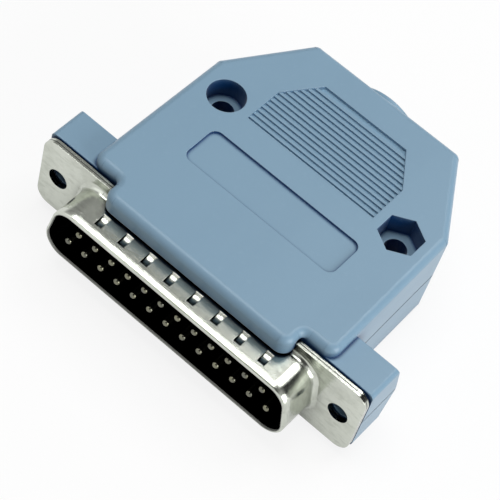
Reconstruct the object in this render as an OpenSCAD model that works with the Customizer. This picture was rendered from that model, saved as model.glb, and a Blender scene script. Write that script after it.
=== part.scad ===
// Cable plug of the 25 way D-sub size in a moulded hood that splits in two like halves.
//
// +X runs along the width, +Y from the mating end back to the cable outlet, +Z up.
// The origin is the centre of the flange's front face, midway between its two holes.
// The metal connector is drawn with its mating direction along +Z and turned to -Y at
// the end; in that drawing x is the row's X and y is the row's Z.

/* [Flange] */
// Width of the flange
flange_w = 53.04; // [52.6:0.01:53.4]
// Height of the flange
flange_h = 12.55; // [12.3:0.01:12.7]
// Radius of the flange's corners
flange_corner_r = 2; // [1:0.1:3]
// Distance between the two jackscrew holes
hole_pitch = 47.04; // [46.9:0.01:47.2]
// Diameter of the jackscrew holes
hole_d = 3.05; // [2.9:0.01:3.2]
// Thickness of the sheet that both shells are drawn from
sheet_t = 0.4; // [0.35:0.01:0.42]

/* [Mating shell] */
// Inside width of the shell's mouth at its wide side
mouth_w = 38.96; // [38.8:0.01:39.1]
// Inside height of the shell's mouth
mouth_h = 8.36; // [8.3:0.01:8.5]
// Inside radius of the mouth's corners
mouth_r = 2.59; // [2.3:0.01:2.7]
// Slope of the mouth's short sides from upright
side_angle = 10; // [8:0.5:11]
// How far the shell stands in front of the flange
nose_l = 5.9; // [5.6:0.05:6.1]
// Outside radius where the shell turns into the flange
root_r = 0.7; // [0.4:0.05:0.75]
// Radius of the shell's front rim
rim_r = 0.35; // [0.15:0.05:0.35]
// Number of spring dimples along the narrow side
dimple_count = 8; // [4:2:8]
// Distance from one dimple to the next
dimple_pitch = 3.84; // [3.6:0.02:4]
// Width of a dimple across the shell
dimple_w = 1.15; // [0.9:0.05:1.4]
// Length of a dimple along the mating direction
dimple_l = 2; // [1.6:0.1:2.2]
// Depth of a dimple
dimple_deep = 0.36; // [0.25:0.01:0.4]
// Distance from the flange to the middle of a dimple
dimple_at = 3.3; // [3:0.1:3.5]

/* [Contacts] */
// Contacts in the long row, on the wide side
long_row = 13; // [13]
// Distance between neighbours in a row
pin_pitch = 2.77; // [2.74:0.01:2.77]
// Distance between the two rows
row_gap = 2.84; // [2.8:0.01:2.88]
// Diameter of a pin
pin_d = 1.02; // [0.98:0.01:1.06]
// How far the pin tips stand in front of the flange
pin_reach = 5.4; // [5:0.1:5.6]
// Outside diameter of a solder cup
cup_d = 1.9; // [1.7:0.05:2]
// Length of a solder cup behind the insulator
cup_l = 3.6; // [3:0.1:4]

/* [Hood] */
// Thickness of the closed hood
hood_t = 15.84; // [15.6:0.02:16.2]
// Width of the hood body at its shoulders
body_w = 39.7; // [39.4:0.1:40]
// Width of the hood body where its corners are cut off
body_rear_w = 39.0; // [38.6:0.1:39.4]
// Where the cut-off corners start, behind the flange
cut_start = 25.3; // [25:0.1:25.6]
// Width of the hood's rear edge
rear_w = 24.4; // [24:0.1:25]
// Length of the hood behind the flange
rear_y = 37.5; // [37.2:0.1:38]
// Gap between the flange and the hood's shoulders
shoulder_y = 1.2; // [1.2:0.05:1.3]
// Width of the lip that hooks over the flange
lip_w = 30.2; // [29.8:0.1:30.6]
// How far the lip stands in front of the flange
lip_reach = 2; // [1.8:0.05:2.1]
// Radius along the hood's outer edges
edge_r = 1.1; // [0.8:0.1:1.2]
// Width across the two wings that take the jackscrews
wing_span = 53; // [52.6:0.1:53.4]
// Height of the wings
wing_t = 12.2; // [12:0.1:12.4]
// Where the wings' upper faces end, behind the flange
wing_y = 6.5; // [6.4:0.1:6.8]
// Where the wings end at the seam, as their rear faces slope
wing_base_y = 8.1; // [7.4:0.1:8.4]
// Thickness of the moulded walls
wall_t = 1.6; // [1.4:0.1:1.8]
// Thickness of the broad top and bottom walls
roof_t = 1.8; // [1.7:0.1:2]

/* [Case screws] */
// Distance of a case screw from the middle of the hood
screw_x = 14.7; // [14.6:0.1:14.8]
// Distance of the case screws behind the flange
screw_y = 21.2; // [21:0.1:21.4]
// Diameter of the case screw holes
screw_hole_d = 3.2; // [3:0.1:3.4]
// Diameter of the round recess for the screw head
head_d = 5.4; // [5.2:0.1:5.6]
// Width across the flats of the nut recess
nut_af = 5.5; // [5.4:0.05:5.6]
// Depth of both recesses
recess_deep = 3.2; // [3:0.1:3.4]

/* [Label and grip] */
// Width of the label recess
label_w = 24.5; // [24:0.1:25]
// Front edge of the label recess
label_y0 = 9.7; // [9.6:0.1:10]
// Rear edge of the label recess
label_y1 = 16.1; // [15.9:0.1:16.4]
// Depth of the label recess
label_deep = 0.35; // [0.2:0.05:0.45]
// Number of grip ribs
rib_count = 13; // [11:1:13]
// Distance from one grip rib to the next
rib_pitch = 0.85; // [0.83:0.01:0.86]
// Height of the grip ribs
rib_h = 0.3; // [0.15:0.05:0.4]
// Depth of the grip's floor
grip_deep = 0.45; // [0.4:0.05:0.5]

/* [Cable outlet] */
// Diameter of the cable outlet
outlet_d = 10.4; // [9.6:0.1:10.8]
// Outside diameter of the collar round the outlet
collar_d = 14.6; // [14.2:0.1:15]
// How far the collar stands out of the rear edge
collar_reach = 0.7; // [0.5:0.05:1.2]
// Diameter of the gap in the cable saddles
saddle_d = 7.6; // [7:0.1:8.2]

/* [Hidden] */
$fn = 96;
over = 0.5; // how far a cutter runs past the face that it cuts
slack = 0.04; // clearance between pieces that fit together
meet = 1.003; // a rounded edge meets its faces at a few degrees, so neither only grazes the other
past = 3; // degrees that a swept corner reaches past its own ends
hair = 0.02; // shift that keeps two cutters' faces apart
rest_gap = 0.02; // gap between faces that rest on each other

// metal connector
short_row = long_row - 1;
contact_count = long_row + short_row;
box_half_h = 5.36; // half the height of the rear shell's box
back_grow = box_half_h - sheet_t - mouth_h / 2; // its inside, outside the mouth's outline
back_l = 5.4; // depth of the rear shell behind the flange's front face
back_lip = 0.68; // how far the rear shell is turned in at its back edge
base_front = -sheet_t - rest_gap;
base_split = -3;
base_back = -back_l + sheet_t + rest_gap;
moulding_back = -7;
boss_x = 17.9; // half width of the moulding behind the rear shell
boss_y = 3.9; // half its height
boss_corner_r = 1.5;
collar_r = 0.9;
collar_front = -2.2;
collar_back = -3.6;
shank_r = 0.75;
cup_bore_r = 0.62;
cup_bore_l = 3;
scoop_l = 0.6 * cup_l; // length over which a cup is cut open
neck_l = 0.1; // bare shank between the moulding and a cup
tab_w = 4;
tab_x = 8;
tab_reach = 0.55; // how far a tab laps over the rear plate

// hood
half_t = hood_t / 2;
wing_half_t = wing_t / 2;
groove_front = 0.05;
lip_under = 5.1; // height of the lip's lower edge, clear of the bend into the flange
groove_top = flange_h / 2 + sheet_t + 0.1;
chamber_x = 20.85;
chamber_top = 5.5;
chamber_y = 5.8;
corner_r = 1.6; // corners of the shoulders and the lip, seen from above
inner_corner_r = 0.8;
cut_corner_r = 1.15;
wing_edge_r = 0.2; // the wings' front edges
wing_end_r = 0.7; // the edges over their ends
collar_edge_r = 0.3;
jack_hole_r = 1.75;
seam_w = 0.2;
seam_deep = 0.35;
boss_r = 4.1;
key_w = 0.7;
key_h = 0.8;
key_y0 = 9;
key_y1 = 24;
key_x = body_rear_w / 2 - 0.35; // outer face of the tongue, inside the wall
grip_front = 20.55;
grip_bend = 26.9; // where its sides start to run together
grip_rear = 32.4;
grip_x = [10.55, 10.5, 6.88]; // its half widths at those three places
rib_first = 20.95;
rib_w = 0.42;
label_corner_r = 1.2;
saddle_ys = [29.6, 32.8];
saddle_t = 1.2;
saddle_x = 8;

function contact_name(i) = str("contact_", i < 10 ? "0" : "", i);

// ---------- outlines with rounded corners ----------

function unit(v) = v / norm(v);
function heading(v) = atan2(v.y, v.x);
function outward(d) = [d.y, -d.x];
function before(i, v) = (i + len(v) - 1) % len(v);
function after(i, v) = (i + 1) % len(v);
// direction of the side that leaves corner i of the outline v, which runs counter-clockwise
function side(v, i) = unit(v[after(i, v)] - v[i]);
// turn at corner i: above 0 where the outline is convex, below 0 in an inner corner
function turn(v, i) =
    let (a = side(v, before(i, v)), b = side(v, i)) atan2(a.x * b.y - a.y * b.x, a * b);
function trim(v, r, i) = r[i] * tan(abs(turn(v, i)) / 2);
function arc_start(v, r, i) = v[i] - trim(v, r, i) * side(v, before(i, v));
function arc_end(v, r, i) = v[i] + trim(v, r, i) * side(v, i);
function arc_centre(v, r, i) =
    arc_start(v, r, i) - sign(turn(v, i)) * r[i] * outward(side(v, before(i, v)));

// the outline's corners and radii when it grows by g on all sides
function grown(v, g) = [
    for (i = [0:len(v) - 1])
        let (a = outward(side(v, before(i, v))), b = outward(side(v, i))) v[i] + g * (a + b) / (1 + a * b)
];
function grown_radii(v, r, g) = [for (i = [0:len(v) - 1]) r[i] + sign(turn(v, i)) * g];

// a flat outline with corners v, rounded by the radii r
module outline(v, r) {
    corners = [for (i = [0:len(v) - 1]) i];
    difference() {
        union() {
            polygon([for (i = corners) each [arc_start(v, r, i), arc_end(v, r, i)]]);
            for (i = corners) if (turn(v, i) > 0) translate(arc_centre(v, r, i)) circle(r[i]);
        }
        for (i = corners) if (turn(v, i) < 0) translate(arc_centre(v, r, i)) circle(r[i]);
    }
}

// Both sweep a section round an outline, the section's x pointing out of it and its y up:
// the first along the straight sides, the second round the corners. The corners reach a
// little way along the sides too, there moved out by shift so that they only clear them.
module along_sides(v, r) {
    for (i = [0:len(v) - 1]) {
        start = arc_end(v, r, i);
        run = norm(arc_start(v, r, after(i, v)) - start);
        translate([start.x, start.y, 0]) rotate(heading(outward(side(v, i))))
            translate([0, run, 0]) rotate([90, 0, 0]) linear_extrude(run) children();
    }
}
module round_corners(v, r, shift) {
    for (i = [0:len(v) - 1]) {
        centre = arc_centre(v, r, i);
        sweep = abs(turn(v, i)) + 2 * past;
        if (turn(v, i) > 0)
            translate([centre.x, centre.y, 0]) rotate(heading(outward(side(v, before(i, v)))) - past)
                rotate_extrude(angle = sweep) translate([r[i] + shift, 0]) children();
        else
            translate([centre.x, centre.y, 0]) rotate(heading(-outward(side(v, i))) - past)
                rotate_extrude(angle = sweep) translate([r[i] - shift, 0]) mirror([1, 0]) children();
    }
}

// section that cuts a square edge at the origin to the radius r
module edge_cut(r) {
    difference() {
        translate([-r, -r]) square(r + over);
        translate([-r, -r]) circle(r * meet);
    }
}

// ---------- the D outline ----------

// corners of the mouth's outline grown by g on all sides, wide side down
function d_corners(g) =
    let (
        r = mouth_r + g,
        x = mouth_w / 2 - mouth_r,
        y = mouth_h / 2 - mouth_r,
        low = x + (r + r * sin(side_angle)) / cos(side_angle),
        high = low - (2 * y + 2 * r) * tan(side_angle),
        h = mouth_h / 2 + g
    ) [[-low, -h], [low, -h], [high, h], [-high, h]];
function d_radii(g) = [for (i = [0:3]) mouth_r + g];
module d_flat(g) outline(d_corners(g), d_radii(g));
module d_slab(g, z0, z1) translate([0, 0, z0]) linear_extrude(z1 - z0) d_flat(g);

module flange_flat() {
    x = flange_w / 2;
    y = flange_h / 2;
    outline([[-x, -y], [x, -y], [x, y], [-x, y]], [for (i = [0:3]) flange_corner_r]);
}

// one shell's flange plate, still without its opening
module plate(z) {
    translate([0, 0, z]) linear_extrude(sheet_t) difference() {
        flange_flat();
        for (s = [-1, 1]) translate([s * hole_pitch / 2, 0]) circle(hole_d / 2);
    }
}

// section that fills the corner where the sheet turns out of its plate
module bend_fill(r) {
    difference() {
        translate([-sheet_t, -sheet_t] / 4) square(r + sheet_t / 4);
        translate([r, r]) circle(r * meet);
    }
}

// ---------- metal shells ----------

dimple_r = (pow(dimple_l / 2, 2) + pow(dimple_deep, 2)) / (2 * dimple_deep);
dimple_axis = mouth_h / 2 + sheet_t + dimple_r - dimple_deep;

module dimple_places() {
    for (i = [0:dimple_count - 1])
        translate([(i - (dimple_count - 1) / 2) * dimple_pitch, dimple_axis, dimple_at])
            rotate([0, 90, 0]) children();
}

// tab folded over the edges of both plates, drawn at the top edge
module tab() {
    top = flange_h / 2;
    translate([-tab_w / 2, top, -3 * sheet_t]) cube([tab_w, sheet_t, 3 * sheet_t]);
    translate([-tab_w / 2, top - tab_reach, -3 * sheet_t]) cube([tab_w, tab_reach, sheet_t]);
}

module front_shell_form() {
    v = d_corners(sheet_t);
    r = d_radii(sheet_t);
    difference() {
        union() {
            plate(-sheet_t);
            difference() {
                difference() {
                    d_slab(sheet_t, 0, nose_l);
                    translate([0, 0, nose_l]) along_sides(v, r) edge_cut(rim_r);
                }
                translate([0, 0, nose_l]) round_corners(v, r, hair) edge_cut(rim_r);
            }
            along_sides(v, r) bend_fill(root_r);
            round_corners(v, r, hair) bend_fill(root_r);
        }
        d_slab(0, -over - sheet_t, nose_l + over);
        dimple_places() cylinder(h = dimple_w, r = dimple_r, center = true);
    }
    // the dimples' backs, which press on the mating socket
    difference() {
        intersection() {
            dimple_places() cylinder(h = dimple_w + 2 * sheet_t, r = dimple_r + sheet_t, center = true);
            translate([-mouth_w / 2, 0, 0]) cube([mouth_w, (mouth_h + sheet_t) / 2, nose_l]);
        }
        dimple_places() cylinder(h = dimple_w, r = dimple_r, center = true);
    }
    for (sx = [-1, 1], sy = [0, 1]) translate([sx * tab_x, 0, 0]) mirror([0, sy, 0]) tab();
}

// the rear shell's plate lies behind the front shell's, and its box reaches back from there
module rear_shell_form() {
    difference() {
        union() {
            plate(-2 * sheet_t);
            d_slab(back_grow + sheet_t, -back_l, -2 * sheet_t);
        }
        d_slab(back_grow, sheet_t - back_l, over - sheet_t);
        d_slab(back_grow - back_lip, -over - back_l, over);
    }
}

// ---------- insulators and contacts ----------

// place of contact i: the long row is counted first, from -X, then the short row
function contact_place(i) =
    i <= long_row
        ? [(i - 1 - (long_row - 1) / 2) * pin_pitch, -row_gap / 2]
        : [(i - long_row - 1 - (short_row - 1) / 2) * pin_pitch, row_gap / 2];

module contact_bores(r, z0, z1) {
    for (i = [1:contact_count]) translate(concat(contact_place(i), z0)) cylinder(h = z1 - z0, r = r);
}

module front_insulator_form() {
    difference() {
        union() {
            d_slab(-slack, base_front - over, 0);
            d_slab(back_grow - slack, base_split, base_front);
        }
        contact_bores(pin_d / 2 + slack, collar_front - over, over);
        contact_bores(collar_r + slack, base_split - over, collar_front + slack);
    }
}

module rear_insulator_form() {
    difference() {
        union() {
            d_slab(back_grow - slack, base_back, base_split);
            translate([0, 0, moulding_back]) linear_extrude(base_back + over - moulding_back) outline(
                [[-boss_x, -boss_y], [boss_x, -boss_y], [boss_x, boss_y], [-boss_x, boss_y]],
                [for (i = [0:3]) boss_corner_r]
            );
        }
        contact_bores(collar_r + slack, collar_back - slack, base_split + over);
        contact_bores(shank_r + slack, moulding_back - over, collar_back);
    }
}

// one turned contact: rounded pin, retaining collar, shank and solder cup
module contact_form(up) {
    tip_r = 0.35;
    pin_r = pin_d / 2;
    cup_back = moulding_back - cup_l;
    difference() {
        union() {
            rotate_extrude() {
                square([pin_r - tip_r, pin_reach]);
                square([pin_r, pin_reach - tip_r]);
                intersection() {
                    translate([pin_r - tip_r, pin_reach - tip_r]) circle(tip_r);
                    translate([0, pin_reach - tip_r]) square(tip_r + pin_r);
                }
            }
            translate([0, 0, collar_front]) cylinder(h = -collar_front, r = pin_r);
            translate([0, 0, collar_back]) cylinder(h = collar_front - collar_back, r = collar_r);
            translate([0, 0, moulding_back]) cylinder(h = collar_back - moulding_back, r = shank_r);
            translate([0, 0, cup_back]) cylinder(h = cup_l - neck_l, r = cup_d / 2);
            translate([0, 0, moulding_back - neck_l]) cylinder(h = neck_l, r = shank_r);
        }
        translate([0, 0, cup_back - over]) cylinder(h = cup_bore_l + over, r = cup_bore_r);
        // the scoop is open on its outer side, so that the wire can be laid in
        translate([-cup_d, up ? 0 : -cup_d, cup_back - over]) cube([2 * cup_d, cup_d, scoop_l + over]);
    }
}

module contact(i) {
    color("gold") rotate([90, 0, 0]) translate(contact_place(i)) contact_form(i > long_row);
}

// ---------- hood ----------

function mirrored(v) = concat(v, [for (i = [len(v) - 1:-1:0]) [-v[i].x, v[i].y]]);
function doubled(r) = concat(r, [for (i = [len(r) - 1:-1:0]) r[i]]);

body_v = mirrored([
    [lip_w / 2, -lip_reach],
    [lip_w / 2, shoulder_y],
    [body_w / 2, shoulder_y],
    [body_rear_w / 2, cut_start],
    [rear_w / 2, rear_y]
]);
body_r = doubled([corner_r, inner_corner_r, corner_r, cut_corner_r, cut_corner_r]);
module slab(v, r, h) linear_extrude(h) outline(v, r);

// a slab from the seam at z = 0 up, its top edge rounded
module rounded_slab(v, r, h, top_r) {
    difference() {
        difference() {
            translate([0, 0, seam_w / 2]) slab(v, r, h - seam_w / 2);
            translate([0, 0, h]) along_sides(v, r) edge_cut(top_r);
        }
        translate([0, 0, h]) round_corners(v, r, hair) edge_cut(top_r);
    }
    // fine step at the seam, which shows as a dark line between the halves
    slab(grown(v, -seam_deep), grown_radii(v, r, -seam_deep), h / 2);
}

// one half's wings: a bar across the whole width, whose rear face slopes in from the seam
module wings() {
    difference() {
        translate([-wing_span / 2, 0, 0]) rotate([90, 0, 90]) linear_extrude(wing_span) outline(
            [[shoulder_y, seam_w / 2], [wing_base_y, seam_w / 2], [wing_y, wing_half_t], [shoulder_y, wing_half_t]],
            [0, 0, 0, wing_edge_r]
        );
        for (sx = [0, 1]) mirror([sx, 0, 0]) translate([wing_span / 2, wing_base_y, wing_half_t])
            rotate([90, 0, 0]) linear_extrude(wing_base_y) edge_cut(wing_end_r);
    }
    translate([seam_deep - wing_span / 2, shoulder_y + seam_deep, 0])
        cube([wing_span - 2 * seam_deep, wing_base_y - shoulder_y - 2 * seam_deep, seam_w + over]);
}

// outside of one half
module half_skin() {
    rounded_slab(body_v, body_r, half_t, edge_r);
    wings();
    // collar round the cable outlet
    translate([0, rear_y - wall_t, 0]) rotate([-90, 0, 0]) intersection() {
        rotate_extrude() difference() {
            square([collar_d / 2, wall_t + collar_reach]);
            translate([collar_d / 2, wall_t + collar_reach]) edge_cut(collar_edge_r);
        }
        translate([-collar_d / 2, -collar_d, 0]) cube([collar_d, collar_d, 2 * wall_t + collar_reach]);
    }
}

// wire space inside the walls, as an outline
function inner_v(w) = mirrored([
    [body_w / 2 - w, 0],
    [body_rear_w / 2 - w, cut_start - w / 4],
    [rear_w / 2 - w / 4, rear_y - w],
]);

module half_hollow() {
    // space for the mating shell below the lip, then the groove that holds the flange
    translate([-wing_span, -lip_reach - over, -over])
        cube([2 * wing_span, lip_reach + over - groove_front, lip_under + over]);
    translate([-wing_span, -groove_front, -over])
        cube([2 * wing_span, groove_front + shoulder_y, groove_top + over]);
    // chamber for the back of the metal shell
    translate([-chamber_x, 0, -over]) cube([2 * chamber_x, chamber_y, chamber_top + over]);
    // wire space
    translate([0, 0, -over]) linear_extrude(half_t - roof_t + over) intersection() {
        polygon(inner_v(wall_t));
        translate([-body_w, chamber_y - over]) square([2 * body_w, rear_y]);
    }
}

// boss round a case screw, which runs up into the roof
module boss(x) translate([x, screw_y, 0]) cylinder(h = half_t - roof_t + over, r = boss_r);

// wall across the hood with a half-round gap that grips the cable
module saddle(y) {
    translate([0, y + saddle_t, 0]) rotate([90, 0, 0]) linear_extrude(saddle_t) difference() {
        translate([-saddle_x, 0]) square([2 * saddle_x, half_t - roof_t + over]);
        circle(saddle_d / 2);
    }
}

module grip_flat() {
    polygon(mirrored([[grip_x[0], grip_front], [grip_x[1], grip_bend], [grip_x[2], grip_rear]]));
}

module grip_recess() {
    difference() {
        translate([0, 0, half_t - grip_deep]) linear_extrude(grip_deep + over) grip_flat();
        for (i = [0:rib_count - 1]) translate([-body_w, rib_first + i * rib_pitch, half_t - grip_deep - over])
            cube([2 * body_w, rib_w, rib_h + over]);
    }
}

module label_recess() {
    translate([0, 0, half_t - label_deep]) linear_extrude(label_deep + over) outline(
        [[-label_w / 2, label_y0], [label_w / 2, label_y0], [label_w / 2, label_y1], [-label_w / 2, label_y1]],
        [for (i = [0:3]) label_corner_r]
    );
}

// one half as it leaves the mould; both halves are this piece
module hood_half() {
    difference() {
        union() {
            difference() {
                half_skin();
                half_hollow();
            }
            intersection() {
                slab(inner_v(wall_t / 2), [for (i = [0:5]) 0], half_t);
                union() {
                    for (s = [-1, 1]) boss(s * screw_x);
                    for (y = saddle_ys) saddle(y);
                }
            }
            // tongue on the +X wall
            translate([key_x - key_w, key_y0, -key_h]) cube([key_w, key_y1 - key_y0, 2 * key_h]);
        }
        // groove in the -X wall for the other half's tongue
        translate([-key_x - slack, key_y0 - slack, -over])
            cube([key_w + 2 * slack, key_y1 - key_y0 + 2 * slack, key_h + slack + over]);
        grip_recess();
        label_recess();
        for (s = [-1, 1]) {
            translate([s * screw_x, screw_y, -over]) cylinder(h = hood_t, r = screw_hole_d / 2);
            translate([s * hole_pitch / 2, 0, 0]) rotate([-90, 0, 0]) cylinder(h = rear_y, r = jack_hole_r);
        }
        translate([-screw_x, screw_y, half_t - recess_deep]) cylinder(h = half_t, r = head_d / 2);
        translate([screw_x, screw_y, half_t - recess_deep]) rotate(30)
            cylinder(h = half_t, r = nut_af / 2 / cos(30), $fn = 6);
        translate([0, rear_y - 2 * wall_t, 0]) rotate([-90, 0, 0]) cylinder(h = rear_y, r = outlet_d / 2);
    }
}

module hood_upper() { color("lightsteelblue") hood_half(); }
module hood_lower() { color("lightsteelblue") rotate([0, 180, 0]) hood_half(); }
module front_shell() { color("silver") rotate([90, 0, 0]) front_shell_form(); }
module rear_shell() { color("silver") rotate([90, 0, 0]) rear_shell_form(); }
module front_insulator() { color("black") rotate([90, 0, 0]) front_insulator_form(); }
module rear_insulator() { color("black") rotate([90, 0, 0]) rear_insulator_form(); }

hood_upper();
hood_lower();
front_shell();
rear_shell();
front_insulator();
rear_insulator();
for (i = [1:contact_count]) contact(i);
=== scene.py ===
# %% [markdown]
# A 25 way cable plug. A thin steel shell, drawn to a D, surrounds two rows of gilt pins
# in a black insulator. Behind it a moulded plastic hood, made of two like halves, closes
# over the flange and guides the cable out at the back. The solids come ready made, so
# this lesson is about their finishes, the light and the camera. The frame is in metres:
# X runs along the width, Y from the mating end to the cable's, and Z up. Places that a
# finish needs are read from the solids' boxes, so that both stay together.

# %% Load the plug
import math

import bmesh
import bpy
from mathutils import Matrix, Vector


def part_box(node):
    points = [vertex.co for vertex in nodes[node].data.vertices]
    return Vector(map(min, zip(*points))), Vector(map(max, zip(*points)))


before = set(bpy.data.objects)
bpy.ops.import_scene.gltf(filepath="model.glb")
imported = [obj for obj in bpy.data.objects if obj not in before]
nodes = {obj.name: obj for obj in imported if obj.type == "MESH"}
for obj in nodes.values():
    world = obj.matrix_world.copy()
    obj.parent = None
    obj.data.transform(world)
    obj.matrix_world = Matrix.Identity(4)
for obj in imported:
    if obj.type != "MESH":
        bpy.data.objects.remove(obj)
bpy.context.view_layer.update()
MM = 0.001
floor_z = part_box("hood_lower")[0][2]
hood_back_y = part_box("hood_upper")[1][1]
rim_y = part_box("front_shell")[0][1]
plates_meet_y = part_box("rear_shell")[0][1]
print("nodes", len(nodes), "floor at", round(floor_z / MM, 2), "mm")
print("rim at", round(rim_y / MM, 2), "and hood's back at", round(hood_back_y / MM, 2), "mm")


# %% [markdown]
# Finishes are built from nodes, and plain wiring takes many lines. So one small class
# wraps a socket: the signs +, - and * on it add Math nodes, and so do their reflected
# forms, so that 1 - mask works. make() adds any other node. It sets the node's settings
# first, because some of them decide which sockets the node has.

# %% Sockets and nodes
class Socket:
    """An output socket in a material, on which sums can be written."""

    def __init__(self, tree, socket):
        self.tree = tree
        self.socket = socket

    def math(self, operation, other=None):
        inputs = [self] if other is None else [self, other]
        return make(self.tree, "ShaderNodeMath", {"operation": operation}, inputs)

    def __add__(self, other):
        return self.math("ADD", other)

    def __radd__(self, other):
        return self.math("ADD", other)

    def __sub__(self, other):
        return self.math("SUBTRACT", other)

    def __rsub__(self, other):
        return make(self.tree, "ShaderNodeMath", {"operation": "SUBTRACT"}, [other, self])

    def __mul__(self, other):
        return self.math("MULTIPLY", other)

    def __rmul__(self, other):
        return self.math("MULTIPLY", other)

    def clamp(self, low, high, to_low=0.0, to_high=1.0):
        """self carried from low..high to to_low..to_high, and held there outside."""
        return make(self.tree, "ShaderNodeMapRange", {"interpolation_type": "SMOOTHSTEP"},
                    {"Value": self, "From Min": low, "From Max": high,
                     "To Min": to_low, "To Max": to_high})


def make(tree, kind, settings=None, inputs=None, output=0):
    """Adds a node: its settings first, then values or links by index or name."""
    node = tree.nodes.new(kind)
    for name, value in (settings or {}).items():
        setattr(node, name, value)
    pairs = inputs.items() if isinstance(inputs, dict) else enumerate(inputs or [])
    for key, value in pairs:
        if isinstance(value, Socket):
            tree.links.new(value.socket, node.inputs[key])
        else:
            node.inputs[key].default_value = value
    return Socket(tree, node.outputs[output])


# %% [markdown]
# Every finish here ends in one Principled shader, which covers plastic and metal alike:
# Metallic tells them apart. Colours are written as on a painter's chart, where the steps
# suit the eye, while a renderer adds up light, so srgb() turns one into the other. Two
# colours are blended by a Mix node, because a Math node would turn them grey.

# %% Materials and colours
finishes = {}


def new_material(name):
    """A material without nodes, and its tree."""
    material = bpy.data.materials.new(name)
    material.use_nodes = True
    material.node_tree.nodes.clear()
    return material, material.node_tree


def end_tree(tree, surface, kind="ShaderNodeOutputMaterial"):
    """Shows surface as the result of the tree."""
    output = tree.nodes.new(kind)
    tree.links.new(surface.socket, output.inputs["Surface"])


def keep_finish(word, material, settings):
    """Ends a material in a Principled shader with these values and links, and keeps it for
    the solids that have this word in their name."""
    tree = material.node_tree
    end_tree(tree, make(tree, "ShaderNodeBsdfPrincipled", None, settings))
    finishes[word] = material
    print(material.name, "has", len(tree.nodes), "nodes")


def srgb(red, green, blue):
    """A colour as a painter's chart gives it, 0 to 255, in the renderer's linear light."""
    def linear(value):
        value /= 255
        return value / 12.92 if value <= 0.04045 else ((value + 0.055) / 1.055) ** 2.4
    return (linear(red), linear(green), linear(blue), 1.0)


def mix_color(tree, factor, first, second):
    """first where factor is 0, second where it is 1."""
    return make(tree, "ShaderNodeMix", {"data_type": "RGBA"},
                {0: factor, 6: first, 7: second}, output=2)


print("the chart's middle grey is", round(srgb(128, 128, 128)[0], 3), "in linear light")


# %% [markdown]
# Grain, clouds and scratches are all noise at different sizes. It is laid out on Object
# coordinates, which on this plug are metres in its own frame, so a pattern's size can be
# given in millimetres, and the pattern stays on the plug when the plug is moved. Drawing
# noise out along one axis turns it into the fine lines that a press or a lathe leaves.

# %% Patterns
def place(tree):
    """Where on the plug the surface is, in metres."""
    return make(tree, "ShaderNodeTexCoord", output="Object")


def across(tree, where, axis):
    """One of the three numbers of a place or direction."""
    return make(tree, "ShaderNodeSeparateXYZ", None, [where], output=axis)


def noise(tree, where, size, detail=2.0, roughness=0.5, stretch=(1, 1, 1)):
    """Noise with features about size metres across, drawn out along stretch."""
    scale = [1.0 / (size * s) for s in stretch]
    spot = make(tree, "ShaderNodeMapping", None, {"Vector": where, "Scale": scale})
    return make(tree, "ShaderNodeTexNoise", None,
                {"Vector": spot, "Scale": 1.0, "Detail": detail, "Roughness": roughness})


def bump(tree, height, depth, strength, normal=None):
    """Normals tilted as if the surface stood height times depth metres proud."""
    inputs = {"Strength": strength, "Distance": depth, "Height": height}
    if normal is not None:
        inputs["Normal"] = normal
    return make(tree, "ShaderNodeBump", None, inputs)


# %% [markdown]
# No moulded or pressed edge is perfectly sharp: it has a tiny radius that catches a line of
# light. The solids could be bevelled, but at a tenth of a millimetre that would cost many
# faces for what nobody sees but as that line. The Bevel node turns the normals near an edge
# instead. How far it turned them also tells where the edges are, and so where the plastic is
# paler: partly where hands polish it, partly as a painted highlight along the edge.

# %% Soft edges
BEVEL_SAMPLES = 6


def soft_normal(tree, radius):
    """Normals turned as if every edge had this radius."""
    return make(tree, "ShaderNodeBevel", {"samples": BEVEL_SAMPLES}, {"Radius": radius})


def edge_mask(tree, rounded):
    """0 on a face, and more where the soft normal is turned away from the face's own."""
    flat = make(tree, "ShaderNodeNewGeometry", output="Normal")
    same = make(tree, "ShaderNodeVectorMath", {"operation": "DOT_PRODUCT"},
                [rounded, flat], output="Value")
    return 1.0 - same


# %% [markdown]
# Recesses and gaps on such a plug lie in deeper shade than the lamps here give them, so
# shade is painted into the colour there. Painting that by hand would take a map for each
# solid. The Ambient Occlusion node finds those places: it says how much of the surroundings
# is free within a reach. A second helper tells a tube's inner walls from its outer ones, by
# whether the surface faces the plug's long axis or away from it.

# %% Gaps and walls
LINE_STRENGTH = 0.9
GAP_SAMPLES = 12


def open_sky(tree, reach, own_walls=False):
    """How open the surroundings are within reach: 0 deep in a gap, 1 on a free face.
    With own_walls only the solid's own walls count, and not its neighbours."""
    return make(tree, "ShaderNodeAmbientOcclusion",
                {"samples": GAP_SAMPLES, "only_local": own_walls},
                {"Distance": reach}, output="AO")


def facing_out(tree, where, low, high):
    """0 on the walls that face the plug's long axis, and 1 on those that face away. low and
    high are distances from that axis, along the normal."""
    flat = make(tree, "ShaderNodeVectorMath", {"operation": "MULTIPLY"}, [where, (1, 0, 1)])
    normal = make(tree, "ShaderNodeNewGeometry", output="Normal")
    reach = make(tree, "ShaderNodeVectorMath", {"operation": "DOT_PRODUCT"},
                 [flat, normal], output="Value")
    return reach.clamp(low, high)


def line_at(tree, where, axis, middle, half, fade):
    """LINE_STRENGTH on a line round the solid, half to each side of middle, and 0 off it."""
    off = (across(tree, where, axis) - middle).math("ABSOLUTE")
    return off.clamp(half, half + fade, LINE_STRENGTH, 0.0)
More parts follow.
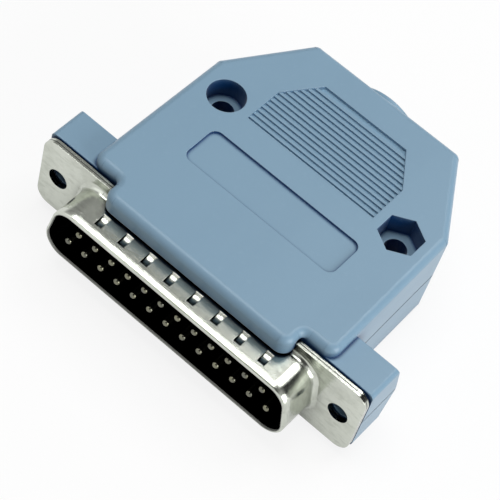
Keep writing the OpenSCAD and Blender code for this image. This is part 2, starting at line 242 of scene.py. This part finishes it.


# %% [markdown]
# Both halves of the hood have a field of grip ribs, and recesses for the screws and the
# label. They are in the solids, but shade is also painted into their colour. Painted shade
# in every corner alike would turn the many small grooves between the ribs into one dark
# patch. So a mask marks the grip field, where most of that painted shade is spared and the
# grooves get a paler tone of their own, painted light that lifts their real shading.
# Elsewhere the gap helper looks at three reaches: a long one, among the hood's own walls,
# for the screw recesses; a middle one for the strips beside the metal and the table; and a
# short one for the outlines of the recesses. The first two spare the faces that look up.

# %% Grip and recesses
HOOD_SHADE = srgb(0, 56, 108)
GROOVE_PAINTED_LIGHT = srgb(134, 170, 194)
GRIP_HALF = 11.2 * MM
GRIP_FROM = hood_back_y - 19.2 * MM
GRIP_FADE = 0.5 * MM
GRIP_SPARED = 0.8
GROOVE_REACH = 1.2 * MM
SCREW_RECESS_REACH = 8 * MM
STRIP_REACH = 4 * MM
OUTLINE_REACH = 0.6 * MM


def grip_field(tree, where):
    """1 in the field of grip ribs, 0 elsewhere."""
    near_middle = across(tree, where, "X").math("ABSOLUTE").clamp(
        GRIP_HALF, GRIP_HALF + GRIP_FADE, 1.0, 0.0)
    return near_middle * across(tree, where, "Y").clamp(GRIP_FROM - GRIP_FADE, GRIP_FROM)


def shade_recesses(tree, color, grip):
    """color, turned to the hood's shade where walls stand close together."""
    normal = make(tree, "ShaderNodeNewGeometry", output="Normal")
    looks_up = across(tree, normal, "Z").clamp(0.5, 0.9)
    for reach, own_walls, low, high, spared in [
            (SCREW_RECESS_REACH, True, 0.4, 0.72, looks_up),
            (STRIP_REACH, False, 0.2, 0.9, looks_up),
            (OUTLINE_REACH, False, 0.45, 1.0, grip)]:
        lit = open_sky(tree, reach, own_walls).clamp(low, high)
        lit = lit.math("MAXIMUM", grip * GRIP_SPARED).math("MAXIMUM", spared)
        color = mix_color(tree, lit, HOOD_SHADE, color)
    return color


print("grip field", round(2 * GRIP_HALF / MM, 1), "mm wide")


# %% [markdown]
# The hood is a grey-blue thermoplastic. Moulds for such parts are spark eroded, which leaves
# a fine even grain, and the colour drifts a little where the plastic flowed and cooled. An
# even colour would look like paint. So a slow noise, drawn out along the flow, leads the
# colour, a fine one gives the grain as a Bump, and the edges are smoother, as hands leave
# them, and paler, partly from that wear and partly as a painted highlight. The two halves
# meet in a fine dark line, which is a mask on the height.

# %% Hood plastic
HOOD_COLOR = srgb(130, 161, 183)
HOOD_PALE = srgb(146, 176, 197)
HOOD_DEEP = srgb(118, 149, 172)
HOOD_ROUGH = 0.25
HOOD_SHINE = 0.38
HOOD_EDGE_R = 0.14 * MM
FLOW_SIZE = 9 * MM
SPECK_SIZE = 0.9 * MM
MOULD_GRAIN = 0.16 * MM
GRAIN_DEPTH = 0.012 * MM
SEAM_Z = 0.0
SEAM_HALF = 0.09 * MM
SEAM_FADE = 0.08 * MM
SEAM_SHADE = srgb(8, 24, 40)


def hood_plastic():
    material, tree = new_material("hood_plastic")
    where = place(tree)
    flow = noise(tree, where, FLOW_SIZE, detail=3.0, stretch=(1.0, 2.2, 1.0))
    grain = noise(tree, where, MOULD_GRAIN, detail=2.0, roughness=0.6)
    specks = noise(tree, where, SPECK_SIZE, detail=4.0, roughness=0.7)
    rounded = soft_normal(tree, HOOD_EDGE_R)
    # Paler edges: partly wear from hands, partly a painted highlight along each edge.
    worn_and_highlit = edge_mask(tree, rounded).clamp(0.02, 0.25, 0.0, 0.55)
    color = mix_color(tree, flow.clamp(0.35, 0.7, 0.0, 0.22), HOOD_COLOR, HOOD_DEEP)
    color = mix_color(tree, specks.clamp(0.55, 0.8, 0.0, 0.18), color, HOOD_PALE)
    color = mix_color(tree, worn_and_highlit, color, HOOD_PALE)
    grip = grip_field(tree, where)
    # Painted light: the grooves between the ribs get a paler colour where they are closed
    # in, which lifts their real shading.
    painted_groove_light = grip * open_sky(tree, GROOVE_REACH).clamp(0.5, 0.95, 1.0, 0.0)
    color = mix_color(tree, painted_groove_light, color, GROOVE_PAINTED_LIGHT)
    # Painted shade in the recesses, in the gaps beside the metal and the table, and along
    # the recesses' outlines.
    color = shade_recesses(tree, color, grip)
    seam = line_at(tree, where, "Z", SEAM_Z, SEAM_HALF, SEAM_FADE)
    keep_finish("hood", material, {
        "Base Color": mix_color(tree, seam, color, SEAM_SHADE),
        "Roughness": HOOD_ROUGH + flow * 0.10 + grain * 0.06 - worn_and_highlit * 0.1,
        "Normal": bump(tree, grain, GRAIN_DEPTH, strength=0.35, normal=rounded),
        "Specular IOR Level": HOOD_SHINE,
        "Sheen Weight": 0.2,
        "Sheen Roughness": 0.3})


hood_plastic()


# %% [markdown]
# The front shell's mouth ends in a rim, where the press leans the wall in a little over
# the last 1.3 mm, more and more towards the end. That catches the light as a bright band.
# In a solid it would take many thin faces, so a Bump does it, on the outer wall alone:
# it sinks with the square of the distance past RIM_FROM. The end of the sheet itself was
# cut, so it is dull and pale, and a mask on the rim's inner side marks it.

# %% Rim of the shell
RIM_FROM = rim_y + 1.3 * MM
RIM_CURVE = 145.0  # per metre
OUTER_SIDE = (0.0, 1 * MM)
INNER_SIDE = (0.0, 0.8 * MM)
CUT_EDGE = srgb(172, 174, 168)
CUT_EDGE_FROM = rim_y + 0.4 * MM
CUT_EDGE_FADE = 0.15 * MM


def rim_lean(tree, where):
    """How far the outer wall stands proud, in metres: below 0 at the rim, else 0."""
    past = (RIM_FROM - across(tree, where, "Y")).math("MAXIMUM", 0.0)
    return past * past * facing_out(tree, where, *OUTER_SIDE) * -RIM_CURVE


def cut_edge(tree, where):
    """1 on the cut end of the sheet, 0 elsewhere."""
    inner = 1.0 - facing_out(tree, where, *INNER_SIDE)
    return inner * across(tree, where, "Y").clamp(
        CUT_EDGE_FROM - CUT_EDGE_FADE, CUT_EDGE_FROM, 1.0, 0.0)


print("rim leans in by", round(RIM_CURVE * (RIM_FROM - rim_y) ** 2 / MM, 2), "mm")


# %% [markdown]
# Both shells are pressed from thin steel strip and tin plated. The press draws fine lines
# along the wall, the plating stays bright with faint clouds, and its lustre is warmer than
# chrome's. Left smooth, it would pass for chrome, so noise drawn out along Y gives the
# lines, and the roughness moves with them. Rubs from mating and handling are coarser and run
# along the width. Shade is painted into the colour in the corners, where the surroundings
# are closed in, and the mouth's walls behind the rim are painted dark. Where the two shells'
# plates touch, a dark line shows between their edges.

# %% Plated steel
STEEL_COLOR = srgb(206, 210, 200)
STEEL_DULL = srgb(180, 184, 173)
STEEL_SHADE = srgb(14, 17, 18)
STEEL_ROUGH = 0.09
STEEL_EDGE_R = 0.08 * MM
CLOUD_SIZE = 3.5 * MM
RUB_SIZE = 0.5 * MM
RUB_DEPTH = 0.033 * MM
LINE_SIZE = 0.12 * MM
PIT_SIZE = 0.35 * MM
LINE_DEPTH = 0.006 * MM
CORNER_REACH = 4 * MM
MOUTH_REACH = 12 * MM
MOUTH_SIDE = (-3 * MM, -1 * MM)
PLATES_HALF = 0.03 * MM
PLATES_FADE = 0.07 * MM


def shade_mouth(tree, where, color):
    """color, with painted shade in the corners and on the walls that face the plug's axis.
    """
    for reach, low, high in [(CORNER_REACH, 0.35, 0.75), (MOUTH_REACH, 0.2, 0.55)]:
        color = mix_color(tree, open_sky(tree, reach).clamp(low, high), STEEL_SHADE, color)
    return mix_color(tree, facing_out(tree, where, *MOUTH_SIDE), STEEL_SHADE, color)


def plated_steel():
    material, tree = new_material("plated_steel")
    where = place(tree)
    cloud = noise(tree, where, CLOUD_SIZE, detail=4.0, roughness=0.6)
    rubs = noise(tree, where, RUB_SIZE, detail=5.0, roughness=0.75, stretch=(7.0, 1.0, 2.0))
    lines = noise(tree, where, LINE_SIZE, detail=3.0, stretch=(1.0, 14.0, 1.0))
    pits = noise(tree, where, PIT_SIZE, detail=2.0)
    color = mix_color(tree, cloud.clamp(0.4, 0.75, 0.0, 0.6), STEEL_COLOR, STEEL_DULL)
    color = mix_color(tree, rubs.clamp(0.48, 0.68, 0.0, 0.8), color, STEEL_DULL)
    # Painted shade in the corners and on the walls inside the mouth.
    color = shade_mouth(tree, where, color)
    cut = cut_edge(tree, where)
    color = mix_color(tree, cut, color, CUT_EDGE)
    between = line_at(tree, where, "Y", plates_meet_y, PLATES_HALF, PLATES_FADE)
    proud = rim_lean(tree, where) + rubs * RUB_DEPTH
    shaped = bump(tree, proud, 1.0, strength=1.0, normal=soft_normal(tree, STEEL_EDGE_R))
    marks = lines * 0.6 + pits * 0.4
    rough = STEEL_ROUGH + cloud * 0.06 + lines * 0.04
    keep_finish("shell", material, {
        "Base Color": mix_color(tree, between, color, STEEL_SHADE),
        "Metallic": 1.0 - cut * 0.9,
        "Roughness": rough + rubs.clamp(0.45, 0.8) * 0.12,
        "Normal": bump(tree, marks, LINE_DEPTH, strength=0.25, normal=shaped)})


plated_steel()


# %% [markdown]
# The insulator is a black, glass filled plastic that stands soldering heat. A plain black
# would show as a hole, but the glass is seen as a faint grey fleck. So one noise mixes two
# near blacks and roughens the gloss, and a finer one gives the grain.

# %% Insulator
INSULATOR_BLACK = srgb(10, 11, 14)
GLASS_FLECK = srgb(30, 32, 34)
INSULATOR_ROUGH = 0.5
FLECK_SIZE = 0.25 * MM
FILLER_GRAIN = 0.1 * MM
FILLER_DEPTH = 0.01 * MM


def black_plastic():
    material, tree = new_material("black_plastic")
    where = place(tree)
    fleck = noise(tree, where, FLECK_SIZE, detail=3.0, roughness=0.7)
    grain = noise(tree, where, FILLER_GRAIN)
    flecked = fleck.clamp(0.5, 0.8, 0.0, 0.5)
    keep_finish("insulator", material, {
        "Base Color": mix_color(tree, flecked, INSULATOR_BLACK, GLASS_FLECK),
        "Roughness": INSULATOR_ROUGH + fleck * 0.2,
        "Normal": bump(tree, grain, FILLER_DEPTH, strength=0.3)})


black_plastic()


# %% [markdown]
# The contacts are turned brass with a flash of gold over nickel, so they are pale, with the
# lathe's rings across them. Rings could be a wave pattern, but those would be too even, so
# they are noise drawn out over X and Z and not along the pin. The pins stand in the dark
# mouth, so the gap helper turns their colour to a painted shade where they are closed in,
# most on their lower parts.

# %% Contacts
PIN_PALE = srgb(128, 127, 108)
PIN_DULL = srgb(106, 107, 98)
PIN_SHADE = srgb(20, 20, 18)
PIN_ROUGH = 0.16
RING_SIZE = 0.1 * MM
RING_DEPTH = 0.005 * MM
FLASH_SIZE = 1.2 * MM
PIN_REACH = 3 * MM


def gilt_brass():
    material, tree = new_material("gilt_brass")
    where = place(tree)
    rings = noise(tree, where, RING_SIZE, detail=2.0, stretch=(12.0, 1.0, 12.0))
    flash = noise(tree, where, FLASH_SIZE, detail=3.0)
    color = mix_color(tree, flash.clamp(0.35, 0.7), PIN_PALE, PIN_DULL)
    # Painted shade: the pins darken where the mouth closes them in.
    lit = open_sky(tree, PIN_REACH).clamp(0.3, 1.0)
    keep_finish("contact", material, {
        "Base Color": mix_color(tree, lit, PIN_SHADE, color),
        "Metallic": 1.0,
        "Roughness": PIN_ROUGH + rings * 0.1,
        "Normal": bump(tree, rings, RING_DEPTH, strength=0.2)})


gilt_brass()


# %% [markdown]
# Each solid keeps its shape and takes the finish of its real material. A list of all 31
# names could say which, but the names already do: a word in each picks the finish.

# %% Dress the solids
def finish_of(name):
    for word, material in finishes.items():
        if word in name:
            return material
    raise ValueError(name)


for name, solid in nodes.items():
    solid.data.materials.clear()
    solid.data.materials.append(finish_of(name))
print({word: sum(word in name for name in nodes) for word in finishes})


# %% [markdown]
# A catalogue's white ground can be had by flooding it with light, but that light would
# bounce and wash the plug out. Light Path keeps the two apart. It tells which ray asks
# about a surface: one from the lens, one from a mirror or clear glass, or one that only
# carries light from surface to surface. The first two may be shown white, while the last
# meets a plain grey.

# %% Kinds of ray
def seen_rays(tree):
    """Two values: 1 where the lens looks, and 1 where a mirror or clear glass looks. Both
    are 0 for light that bounces on."""
    camera_ray, glossy_ray, clear_ray = (
        make(tree, "ShaderNodeLightPath", output=name)
        for name in ("Is Camera Ray", "Is Glossy Ray", "Is Transmission Ray"))
    return camera_ray, glossy_ray.math("MAXIMUM", clear_ray)


# %% [markdown]
# The plug lies on a plain white table: a broad disc, wide enough to meet the view's edge
# from any side. Its matte paper takes the plug's shadow. For the lens and for mirrors most
# of it is mixed with an even white glow of strength 1, and the rest stays matte, so the
# ground is white and the shadow is still there, faint.

# %% Table
TABLE_R = 3.0
TABLE_SEGMENTS = 96
PAPER_SHADES = 0.4
PAPER_LIGHT = (0.97, 0.97, 0.97, 1)
PAPER_DIM = (0.95, 0.95, 0.95, 1)
TABLE_BOUNCE = (0.42, 0.42, 0.42, 1)
WHITE = (1.0, 1.0, 1.0, 1.0)
LENS_WHITE = 0.85
MIRROR_WHITE = 0.6


def table_paper():
    material, tree = new_material("table_white")
    shade = noise(tree, place(tree), PAPER_SHADES, detail=1.0)
    paper = mix_color(tree, shade, PAPER_DIM, PAPER_LIGHT)
    by_lens, by_mirror = seen_rays(tree)
    seen = by_lens.math("MAXIMUM", by_mirror)
    matte = make(tree, "ShaderNodeBsdfPrincipled", None, {
        "Base Color": mix_color(tree, seen, TABLE_BOUNCE, paper),
        "Roughness": 0.9, "Specular IOR Level": 0.1})
    white = make(tree, "ShaderNodeEmission", None, {"Color": WHITE, "Strength": 1.0})
    share = by_lens * LENS_WHITE + by_mirror * MIRROR_WHITE
    end_tree(tree, make(tree, "ShaderNodeMixShader", None, [share, matte, white]))
    return material


def table():
    shape = bmesh.new()
    bmesh.ops.create_circle(shape, cap_ends=True, segments=TABLE_SEGMENTS, radius=TABLE_R)
    bmesh.ops.translate(shape, verts=shape.verts, vec=(0, 0, floor_z))
    mesh = bpy.data.meshes.new("table")
    shape.to_mesh(mesh)
    shape.free()
    mesh.materials.append(table_paper())
    piece = bpy.data.objects.new("table", mesh)
    bpy.context.collection.objects.link(piece)
    return piece


print("table at", round(table().data.vertices[0].co.z / MM, 2), "mm")


# %% [markdown]
# Bright metal has hardly a colour of its own: it shows the room. A real set gives it
# white walls with dark gaps between them. Boards round the plug could do that here too,
# but they would also light it, so the world's background does it, for the lens and for
# mirrors alone. It is white at the horizon. Higher up it is dim at the back, and on the
# near side it is bright at the left, dark in the middle, where the camera stands, and
# white at the right. A dark doorway at the back right, for mirrors only, shows in the
# shell's rounded corner. Directions are given by how far they point aside, away from the
# near side, and up, each from -1 to 1. Bouncing light meets one plain level.

# %% Room
ROOM_LEVEL = 0.24
BACK_WALL = 0.32
NEAR_LEFT = 1.4
NEAR_MIDDLE = 0.08
NEAR_RIGHT = 0.98
DOORWAY_DARK = 0.96


def room_walls(tree, by_mirror):
    """How bright the room looks in each direction."""
    toward = make(tree, "ShaderNodeTexCoord", output="Generated")
    up, away, aside = (across(tree, toward, axis) for axis in "ZYX")
    near = aside.clamp(-0.34, -0.14, NEAR_LEFT, NEAR_MIDDLE)
    near = near + aside.clamp(0.45, 0.65, 0.0, NEAR_RIGHT - NEAR_MIDDLE)
    high = near + away.clamp(-0.4, 0.3) * (BACK_WALL - near)
    walls = 1.0 + up.clamp(0.14, 0.42) * (high - 1.0)
    doorway = aside.clamp(0.24, 0.36) * aside.clamp(0.9, 0.96, 1.0, 0.0)
    doorway = doorway * away.clamp(0.3, 0.42)
    return walls * (1.0 - doorway * by_mirror * DOORWAY_DARK)


def room():
    world = bpy.data.worlds.new("room")
    world.use_nodes = True
    tree = world.node_tree
    tree.nodes.clear()
    by_lens, by_mirror = seen_rays(tree)
    seen = by_lens.math("MAXIMUM", by_mirror)
    level = ROOM_LEVEL + seen * (room_walls(tree, by_mirror) - ROOM_LEVEL)
    glow = make(tree, "ShaderNodeBackground", None, {"Color": WHITE, "Strength": level})
    end_tree(tree, glow, "ShaderNodeOutputWorld")
    bpy.context.scene.world = world


room()
print("room level", ROOM_LEVEL)


# %% [markdown]
# Three soft panels light the plug: one overhead, a key panel high up behind it, and a low
# one at the right that lifts the short sides. A square panel of that size gives edges
# their soft gradient and the plastic no hot spot. The power that a lamp needs grows with
# the square of its distance, so each is given the level at which it alone lights a white
# face. Together with the room they render a colour about as it is written.

# %% Lamps
MIDDLE = Vector((0.0, 0.012, 0.0))
PANEL_FAR = 0.8
PANELS = {  # direction, side in metres, level
    "overhead": ((-0.2, 0.0, 0.98), 0.38, 0.34),
    "key": ((0.13, 0.5, 0.85), 0.4, 0.32),
    "side": ((0.95, -0.1, 0.26), 0.45, 0.65)}


def panel(name, toward, size, level):
    """A square light in that direction, aimed at the plug. level is how bright it alone
    makes a white face that looks straight at it."""
    lamp = bpy.data.lights.new(name, "AREA")
    lamp.shape = "SQUARE"
    lamp.size = size
    lamp.energy = level * math.pi ** 2 * PANEL_FAR ** 2
    piece = bpy.data.objects.new(name, lamp)
    spot = MIDDLE + Vector(toward).normalized() * PANEL_FAR
    piece.location = spot
    piece.rotation_euler = (MIDDLE - spot).to_track_quat("-Z", "Y").to_euler()
    bpy.context.collection.objects.link(piece)


for name, (toward, size, level) in PANELS.items():
    panel(name, toward, size, level)
bpy.context.scene.view_settings.view_transform = "Standard"
print("lamps", {lamp.name: round(lamp.energy, 2) for lamp in bpy.data.lights})


# %% [markdown]
# The camera stands in front and to the right, high up, and leans a little to one side, so
# that the plug's long edge runs down to the right. A wide lens from nearby would fit the
# same plug in, but a long lens from afar keeps the hood's edges nearly parallel, as in a
# catalogue. Both places are in the plug's own frame, and the lean is in degrees.

# %% Camera
CAMERA_AT = Vector((0.0616258, -0.1215714, 0.2031091))
LOOK_AT = Vector((0.0016379, 0.0079844, 0.0035))
LEAN = 18.7711
LENS = 140.8
SENSOR = 36
NEAREST = 0.01
FARTHEST = 20


def camera():
    lens = bpy.data.cameras.new("camera")
    lens.lens = LENS
    lens.sensor_width = SENSOR
    lens.clip_start = NEAREST
    lens.clip_end = FARTHEST
    piece = bpy.data.objects.new("camera", lens)
    turn = (LOOK_AT - CAMERA_AT).to_track_quat("-Z", "Y").to_matrix().to_4x4()
    lean = Matrix.Rotation(math.radians(LEAN), 4, "Z")
    piece.matrix_world = Matrix.Translation(CAMERA_AT) @ turn @ lean
    bpy.context.collection.objects.link(piece)
    bpy.context.scene.camera = piece
    return piece


print("camera", round((LOOK_AT - camera().location).length / MM), "mm away")
